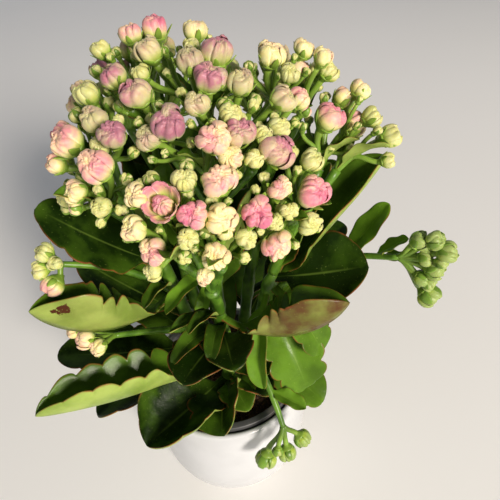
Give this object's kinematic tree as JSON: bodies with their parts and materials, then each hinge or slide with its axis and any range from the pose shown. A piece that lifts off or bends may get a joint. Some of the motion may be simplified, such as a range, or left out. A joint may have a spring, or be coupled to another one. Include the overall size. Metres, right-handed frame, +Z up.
{
  "type": "potted kalanchoe",
  "caption": "Potted flowering succulent with a dome of plump double buds over thick scalloped leaves, in a round white cover pot with a dark nursery pot inside.",
  "frame": {"origin": "middle of the cover pot's foot, on the surface that the pot stands on", "axes": "+Z up out of the pot, -Y towards the front of the plant, +X towards its right side"},
  "size_m": [0.2195, 0.1661, 0.3067],
  "materials": {
    "pot_glaze": "smooth white glaze with a soft shine",
    "nursery_plastic": "thin moulded dark grey plastic, satin",
    "potting_mix": "damp crumbly potting mix, dull",
    "leaf": "thick glossy green leaf skin with thin red-brown rims",
    "bud": "satin cream petals blushed pink over green calyxes and stalks"
  },
  "bodies": {
    "root": {"cover_pot": "pot_glaze", "nursery_pot": "nursery_plastic", "soil": "potting_mix", "leafy_stem_left": "leaf", "leafy_stem_front": "leaf", "leafy_stem_right": "leaf", "leafy_stem_back_right": "leaf", "leafy_stem_back_left": "leaf", "leafy_stem_centre": "leaf", "flower_head_left": "bud", "flower_head_front": "bud", "flower_head_right": "bud", "flower_head_back_right": "bud", "flower_head_back_left": "bud", "flower_head_centre": "bud"}
  },
  "joints": []
}
